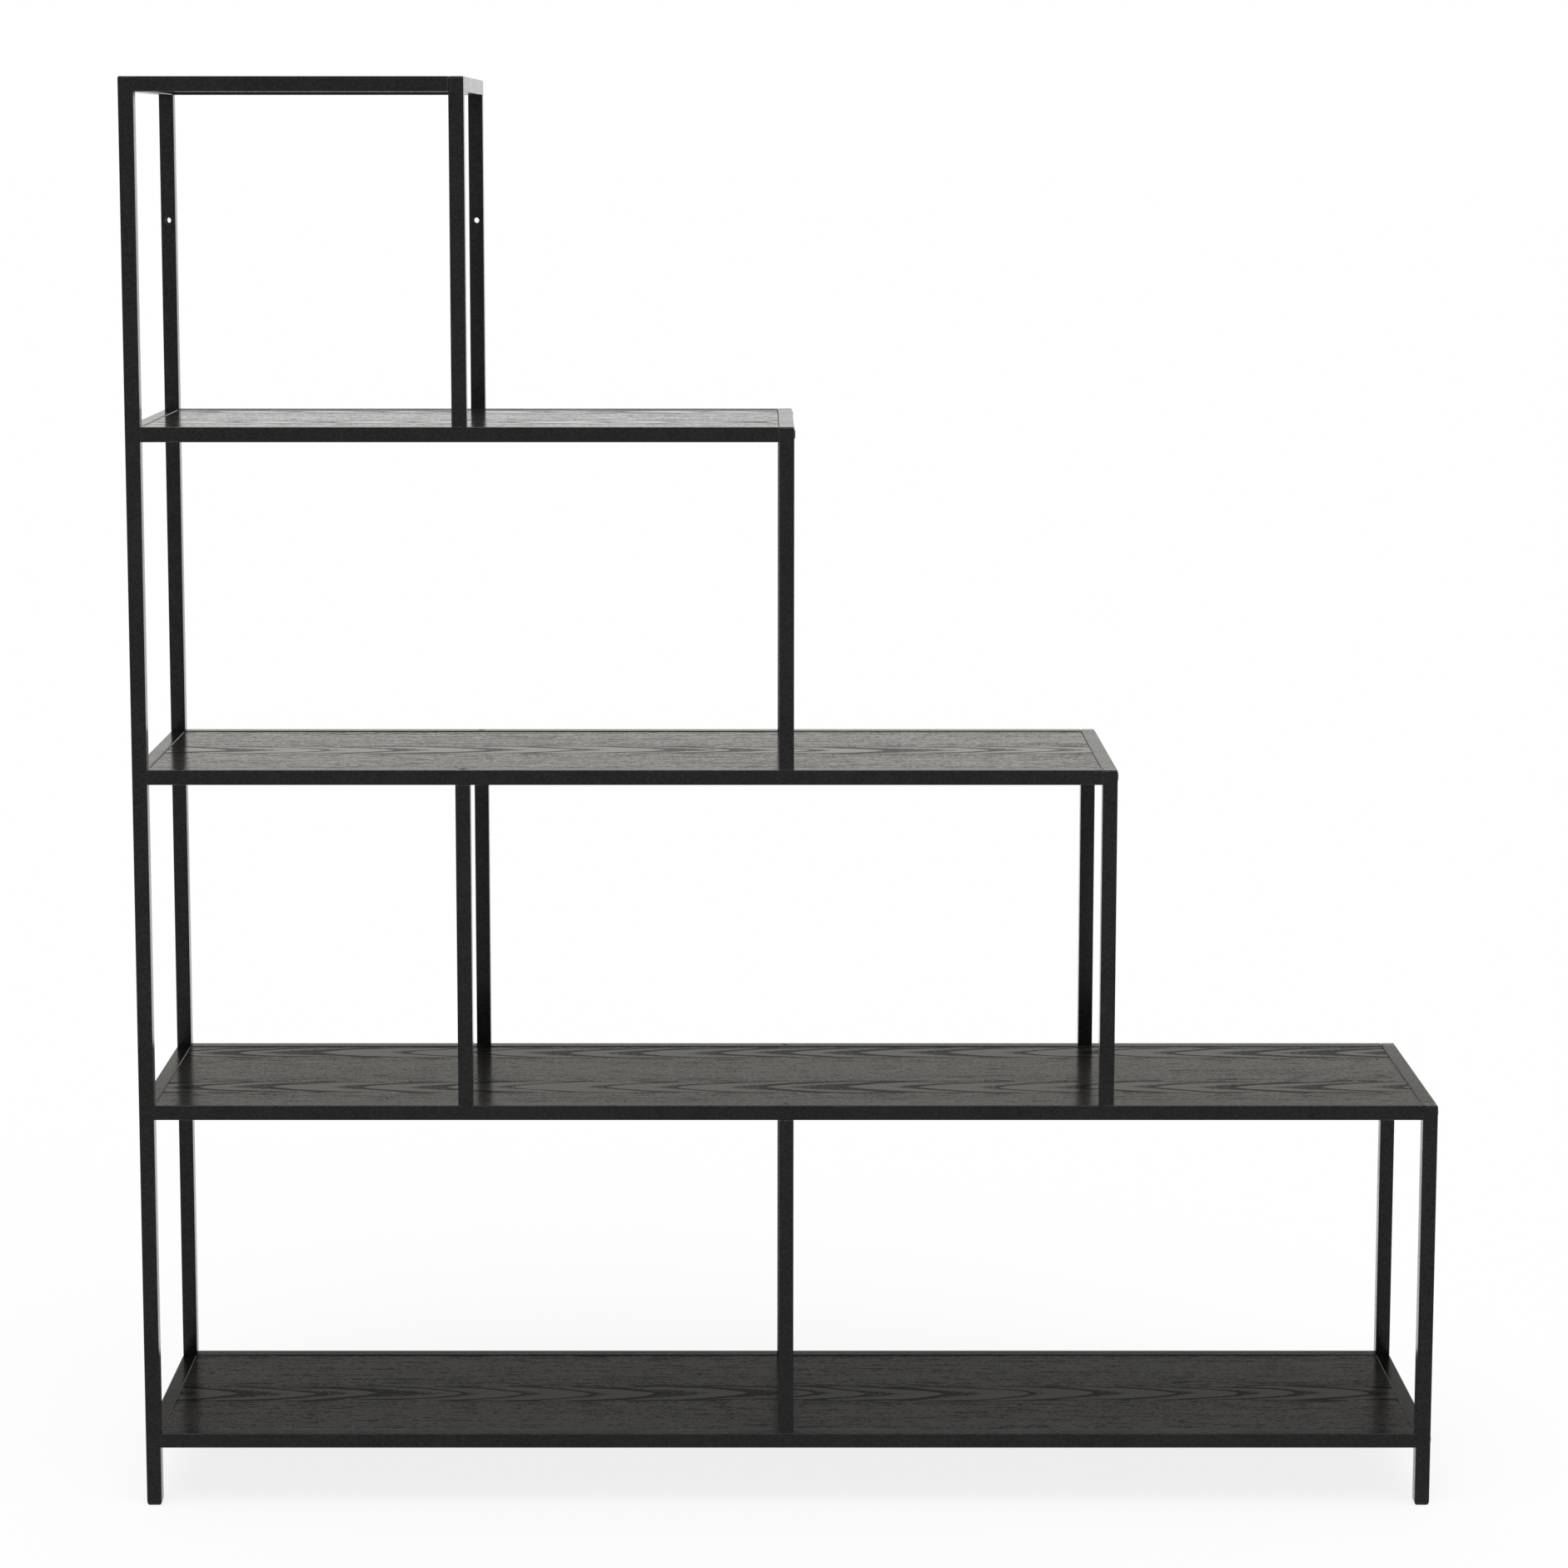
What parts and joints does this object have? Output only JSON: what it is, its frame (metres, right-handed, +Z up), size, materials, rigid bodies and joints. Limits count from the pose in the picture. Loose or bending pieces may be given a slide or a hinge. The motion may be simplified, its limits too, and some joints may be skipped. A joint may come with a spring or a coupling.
{
  "type": "staircase bookshelf",
  "caption": "Free-standing open bookshelf that steps down to one side: black square-tube steel frame with dark wood-look panels and an open top frame.",
  "frame": {"origin": "on the floor, in the middle of the box round the whole shelf", "axes": "+Z up, +X to the right end where the steps come down, +Y from the front to the back"},
  "size_m": [1.6568, 0.35, 1.826],
  "materials": {
    "frame": "matt black powder coat with a fine texture",
    "panel": "satin black ash grain along the shelf",
    "foot": "moulded black",
    "bolt": "black oxide, satin"
  },
  "bodies": {
    "root": {"left_front_post": "frame", "left_back_post": "frame", "lower_right_front_post": "frame", "lower_right_back_post": "frame", "middle_right_front_post": "frame", "middle_right_back_post": "frame", "upper_right_front_post": "frame", "upper_right_back_post": "frame", "top_right_front_post": "frame", "top_right_back_post": "frame", "lower_inner_front_post": "frame", "lower_inner_back_post": "frame", "middle_inner_front_post": "frame", "middle_inner_back_post": "frame", "base_front_rail": "frame", "base_back_rail": "frame", "base_left_rail": "frame", "base_right_rail": "frame", "lower_front_rail": "frame", "lower_back_rail": "frame", "lower_left_rail": "frame", "lower_right_rail": "frame", "middle_front_rail": "frame", "middle_back_rail": "frame", "middle_left_rail": "frame", "middle_right_rail": "frame", "upper_front_rail": "frame", "upper_back_rail": "frame", "upper_left_rail": "frame", "upper_right_rail": "frame", "top_front_rail": "frame", "top_back_rail": "frame", "top_left_rail": "frame", "top_right_rail": "frame", "base_panel": "panel", "lower_panel": "panel", "middle_panel": "panel", "upper_panel": "panel", "left_front_foot": "foot", "left_back_foot": "foot", "right_front_foot": "foot", "right_back_foot": "foot", "base_front_bolt": "bolt", "base_back_bolt": "bolt", "lower_front_bolt": "bolt", "lower_back_bolt": "bolt", "middle_front_bolt": "bolt", "middle_back_bolt": "bolt", "upper_front_bolt": "bolt", "upper_back_bolt": "bolt", "lower_inner_front_bolt": "bolt", "lower_inner_back_bolt": "bolt", "middle_inner_front_bolt": "bolt", "middle_inner_back_bolt": "bolt"}
  },
  "joints": []
}
